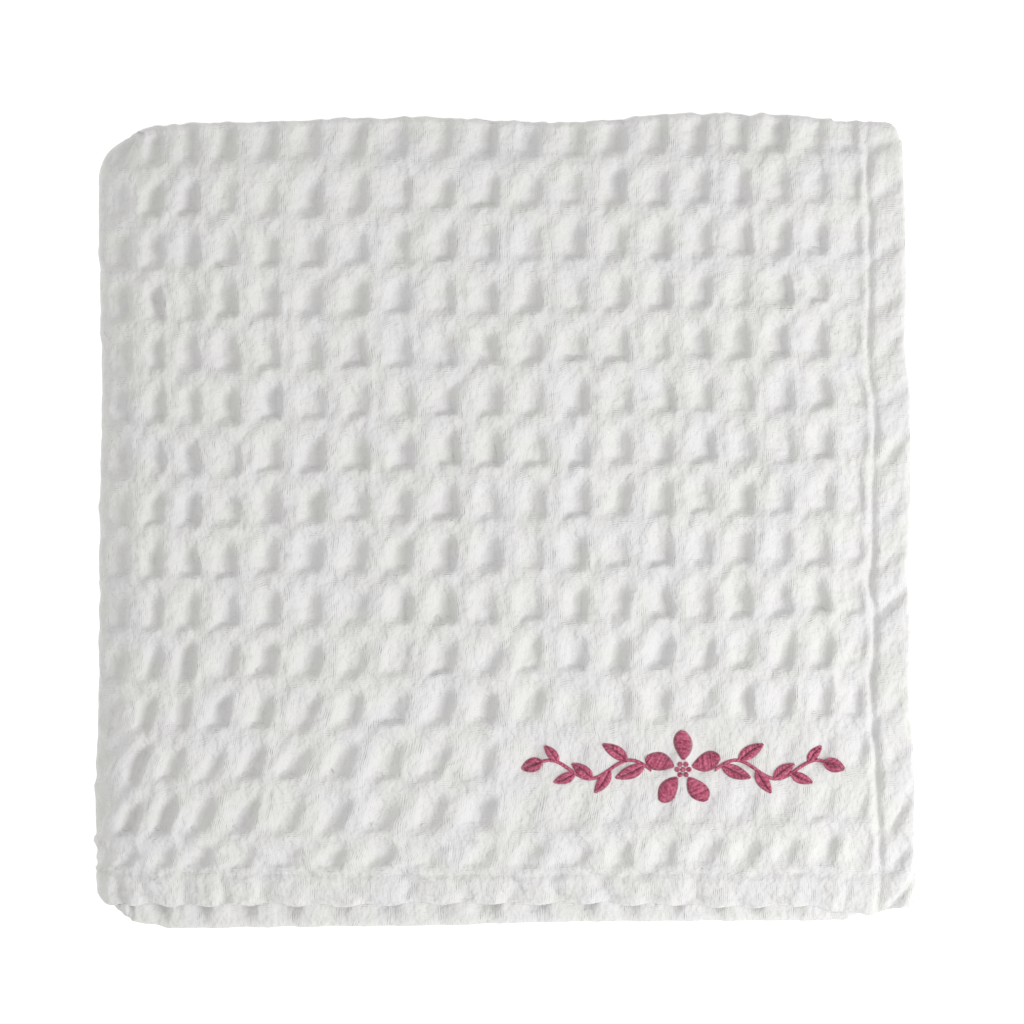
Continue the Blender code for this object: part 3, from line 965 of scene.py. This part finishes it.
def branch():
    """Threads of the stem, the leaves and the bud on the right of the flower."""
    threads = []
    start, end = STEM_ENDS
    x = start
    while x < end:
        base, slope = (x, stem_y(x)), stem_slope(x)
        reaches = (-STEM_HALF_WIDTH, STEM_HALF_WIDTH)
        threads.append([placed(base, reach, reach, slope) for reach in reaches])
        x += THREAD_PITCH * math.cos(math.radians(slope))
    for number in range(LEAVES):
        share = number / (LEAVES - 1)
        at = mix(start, end, 0.06 + 0.80 * share)
        length, half_width = mix(*LEAF_LENGTHS, share), mix(*LEAF_HALF_WIDTHS, share)
        side = 1 if number % 2 else -1
        degrees = stem_slope(at) * 0.5 + side * LEAF_ANGLE
        threads += leaf((at, stem_y(at)), degrees, length, half_width, -side * LEAF_BEND)
    threads += leaf((end, stem_y(end)), stem_slope(end), *BUD, 0.0)
    return threads


def sprig_threads():
    """Start and end of every thread of the sprig, from its middle."""
    threads = []
    for number in range(PETALS):
        threads += petal(90 + 360 * number / PETALS)
    threads += knot(0.0, 0.0, 20)
    count, radius = KNOT_RING
    for number in range(count):
        degrees = 360 * number / count
        threads += knot(*turned(radius, 0.0, degrees), degrees * 1.7)
    right = branch()
    mirrored = [((-a[0], a[1]), (-b[0], b[1])) for a, b in right]
    return threads + right + mirrored


def draped(threads, tree):
    """Lines in space of the threads, which arch from end to end over the cloth."""
    place = np.linspace(0.0, 1.0, THREAD_RINGS)
    down = Vector((0.0, 0.0, -1.0))
    over = CAD_BOX[1].z + 0.05
    lines = []
    for start, end in threads:
        x, y = (SPRIG_MIDDLE[k] + start[k] + (end[k] - start[k]) * place for k in (0, 1))
        cloth_z = np.array([tree.ray_cast(Vector((a, b, over)), down)[0].z for a, b in zip(x, y)])
        taut = mix(cloth_z[0], cloth_z[-1], place)
        length = math.hypot(end[0] - start[0], end[1] - start[1])
        arch = min(PADDING, 0.3 * length) * np.sin(math.pi * place) ** 0.7
        z = np.maximum(taut + arch, cloth_z + THREAD_LIFT * np.sin(math.pi * place))
        lines.append(np.stack([x, y, z], axis=1))
    return lines


# ---------------- materials


def connect(tree, node, inputs):
    """Set a node's inputs to values, or link them to sockets."""
    for key, value in inputs.items():
        if isinstance(value, bpy.types.NodeSocket):
            tree.links.new(value, node.inputs[key])
        else:
            node.inputs[key].default_value = value


def add(tree, kind, inputs=None, **settings):
    """A shader node with its inputs and settings."""
    made = tree.nodes.new("ShaderNode" + kind)
    for name, value in settings.items():
        setattr(made, name, value)
    connect(tree, made, inputs or {})
    return made


def maths(tree, operation, first, second=0.0, third=0.0):
    """The result of a Math node."""
    inputs = {0: first, 1: second, 2: third}
    return add(tree, "Math", inputs, operation=operation).outputs[0]


def blend_of(tree, share, first, second):
    """A mix of two numbers."""
    return add(tree, "Mix", {"Factor": share, 2: first, 3: second}, data_type="FLOAT").outputs[0]


def colour_blend(tree, share, first, second):
    """A mix of two colours."""
    inputs = {"Factor": share, 6: first, 7: second}
    return add(tree, "Mix", inputs, data_type="RGBA").outputs[2]


def between(tree, value, low, high):
    """A soft step from 0 to 1 between two values."""
    inputs = {"Value": value, "From Min": low, "From Max": high}
    return add(tree, "MapRange", inputs, interpolation_type="SMOOTHSTEP").outputs[0]


def noise(tree, vector, scale, detail=2.0):
    """A noise texture's value."""
    return add(tree, "TexNoise", {"Vector": vector, "Scale": scale, "Detail": detail}).outputs[0]


def bumped(tree, height, distance, **more):
    """A normal tilted by a height."""
    inputs = {"Height": height, "Distance": distance, "Strength": 1.0, **more}
    return add(tree, "Bump", inputs).outputs[0]


def new_material(name, roughness, specular, sheen, sheen_roughness):
    """(material, its node tree, its Principled shader)."""
    material = bpy.data.materials.new(name)
    material.use_nodes = True
    tree = material.node_tree
    shader = tree.nodes["Principled BSDF"]
    connect(tree, shader, {"Roughness": roughness, "Specular IOR Level": specular})
    connect(tree, shader, {"Sheen Weight": sheen, "Sheen Roughness": sheen_roughness})
    return material, tree, shader


def cotton_material():
    """Bleached cotton: floats of yarn on the ridges' flanks and plain weave in the pits, with
    painted shade between the yarns and painted light in the pits.
    """
    material, tree, shader = new_material("waffle_cotton", 0.95, 0.15, 0.12, 0.5)
    cells = add(tree, "UVMap", uv_map="cells").outputs[0]
    place = add(tree, "TexCoord").outputs["Object"]
    split = add(tree, "SeparateXYZ", {0: cells}).outputs
    waver = noise(tree, cells, 2.6)
    waves = []
    for way, count in enumerate((YARNS_ACROSS, YARNS_ALONG)):
        turn = maths(tree, "MULTIPLY", split[way], math.tau * count)
        turn = maths(tree, "MULTIPLY_ADD", waver, YARN_WAVER, turn)
        waves.append(maths(tree, "SINE", turn))
    warp, weft = waves
    from_upright = maths(tree, "PINGPONG", split[0], 0.5)
    from_level = maths(tree, "PINGPONG", split[1], 0.5)
    ragged = maths(tree, "MULTIPLY_ADD", noise(tree, cells, 5.0), 0.5, -0.25)
    nearer = maths(tree, "SUBTRACT", from_level, from_upright)
    on_warp = between(tree, maths(tree, "ADD", nearer, ragged), -0.06, 0.06)
    floats = blend_of(tree, on_warp, weft, warp)
    in_pit = between(tree, maths(tree, "MINIMUM", from_upright, from_level), 0.26, 0.44)
    yarns = blend_of(tree, in_pit, floats, maths(tree, "MULTIPLY", warp, weft))
    patches = between(tree, noise(tree, cells, 4.3), 0.40, 0.68)
    yarns = maths(tree, "MULTIPLY", yarns, patches)

    # Crinkles and slubs, longer along the blanket than across
    longer = add(tree, "VectorMath", {0: place, 1: (1.0, 0.8, 1.0)}, operation="MULTIPLY")
    scale, detail, depth = CRINKLE
    crinkled = bumped(tree, noise(tree, longer.outputs[0], scale, detail), depth)
    fuzz = noise(tree, place, FUZZ_SCALE)
    height = maths(tree, "MULTIPLY_ADD", fuzz, 0.8, yarns)
    normal = bumped(tree, height, YARN_DEPTH, Normal=crinkled)

    cloud = noise(tree, place, CLOUD_SCALE)
    colour = colour_blend(tree, between(tree, cloud, 0.35, 0.65), *COTTON_COLOURS)
    # Painted shade: the colour is a little darker in the grooves between the yarns, where the
    # yarns' bump is low
    painted_shade_and_light = maths(tree, "MULTIPLY_ADD", yarns, 0.016, 0.984)
    # Painted light: the colour is a little lighter in the pits, to lift the shade that falls in
    # them
    painted_shade_and_light = maths(tree, "MULTIPLY_ADD", in_pit, 0.006, painted_shade_and_light)
    inputs = {0: colour, "Scale": painted_shade_and_light}
    # The cotton's colour with its painted shade and painted light
    colour_with_painted_shading = add(tree, "VectorMath", inputs, operation="SCALE").outputs[0]
    connect(tree, shader, {"Normal": normal, "Base Color": colour_with_painted_shading})
    return material


def thread_material(name, colours, roughness, sheen):
    """Thread of its own tone for each stitch, with fine fibres and grains in it."""
    material, tree, shader = new_material(name, roughness, 0.35, sheen, 0.4)
    tone = add(tree, "Attribute", attribute_name="tone").outputs["Fac"]
    place = add(tree, "TexCoord").outputs["Object"]
    fibres = noise(tree, place, 2600.0)
    grains = between(tree, noise(tree, place, 1100.0), 0.36, 0.64)
    share = maths(tree, "MULTIPLY_ADD", grains, 0.5, maths(tree, "MULTIPLY", tone, 0.5))
    colour = colour_blend(tree, share, *colours)
    normal = bumped(tree, fibres, FIBRE_DEPTH, Strength=0.6)
    connect(tree, shader, {"Normal": normal, "Base Color": colour})
    return material


def floor_material():
    """A white floor that lifts the shadows a little."""
    material, tree, shader = new_material("studio_floor", 0.9, 0.1, 0.0, 0.5)
    glow = {"Emission Color": (1.0, 1.0, 1.0, 1.0), "Emission Strength": FLOOR_GLOW}
    connect(tree, shader, {"Base Color": FLOOR_COLOUR, **glow})
    return material


# ---------------- pieces and the studio


def piece_of(mesh, material):
    """A piece that rides with the blanket's body."""
    piece = bpy.data.objects.new(mesh.name, mesh)
    bpy.context.scene.collection.objects.link(piece)
    mesh.materials.append(material)
    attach(piece, "root")
    return piece


def blanket(lattice):
    """The folded cloth, as one sheet in place of its plain solid."""
    outer, inner, _, cells, side_spans, length_spans = lattice
    mesh = sheet_mesh(outer, inner, cells, side_spans, length_spans)
    piece = piece_of(mesh, cotton_material())
    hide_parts("blanket")
    return piece


def stitches(lattice):
    """Sewing thread in the seams that show: the upper side hem's and the front hem's."""
    outer, _, normals, cells, _, _ = lattice
    hem = len(HEM_SHARES) - 1
    upper = cells[:, 0, 0] <= UPPER_COLUMNS
    first = cells[0, :, 1] <= BACK_FOLD_ROWS[0]
    lines, ups = seam_stitches(outer[hem, first], normals[hem, first])
    more, more_ups = seam_stitches(outer[upper, hem], normals[upper, hem])
    mesh = thread_mesh("seam_stitches", lines + more, ups + more_ups, STITCH_RADIUS, 6)
    material = thread_material("sewing_thread", SEWING_COLOURS, 0.75, 0.1)
    return piece_of(mesh, material)


def sprig(cloth):
    """A flower with a leafy stem on both sides, in satin stitch on the cloth."""
    tree = BVHTree.FromObject(cloth, bpy.context.evaluated_depsgraph_get())
    lines = draped(sprig_threads(), tree)
    ups = np.zeros((len(lines), THREAD_RINGS, 3))
    ups[..., 2] = 1.0
    mesh = thread_mesh("stitched_sprig", lines, ups, THREAD_RADIUS, THREAD_SIDES)
    material = thread_material("satin_thread", SATIN_COLOURS, 0.38, 0.25)
    return piece_of(mesh, material)


def floor():
    """A wide floor at the blanket's underside."""
    bpy.ops.mesh.primitive_plane_add(size=FLOOR_WIDTH, location=(0, 0, FLOOR_Z))
    plane = bpy.context.object
    plane.name = "floor"
    plane.data.materials.append(floor_material())


def studio():
    """Soft light from all round, and a softbox at the lower right."""
    world = bpy.data.worlds.new("studio")
    bpy.context.scene.world = world
    world.use_nodes = True
    background = world.node_tree.nodes["Background"]
    background.inputs["Color"].default_value = WORLD_COLOUR
    background.inputs["Strength"].default_value = WORLD_STRENGTH
    light = bpy.data.lights.new("softbox", "AREA")
    light.shape = "SQUARE"
    light.size = SOFTBOX_WIDTH
    light.energy = SOFTBOX_WATTS
    lamp = bpy.data.objects.new("softbox", light)
    azimuth, elevation, distance = SOFTBOX_PLACE
    side, rise = math.radians(azimuth), math.radians(elevation)
    direction = Vector((
        math.cos(side) * math.cos(rise),
        math.sin(side) * math.cos(rise),
        math.sin(rise),
    ))
    lamp.location = direction * distance
    lamp.rotation_euler = direction.to_track_quat("Z", "Y").to_euler()
    bpy.context.scene.collection.objects.link(lamp)
    bpy.context.scene.view_settings.view_transform = "Standard"


def camera():
    """Straight above, framed as the photograph is."""
    data = bpy.data.cameras.new("camera")
    data.sensor_width = SENSOR
    top = CAD_BOX[1].z - CREST_RISE
    data.lens = SENSOR * (CAMERA_RISE - top) / FRAME_WIDTH
    view = bpy.data.objects.new("camera", data)
    view.location = (*CAMERA_PLACE, CAMERA_RISE)
    bpy.context.scene.collection.objects.link(view)
    bpy.context.scene.camera = view


camera()
studio()
floor()
lattice = cloth_faces()
cloth = blanket(lattice)
with_pieces = [stitches(lattice), sprig(cloth)]
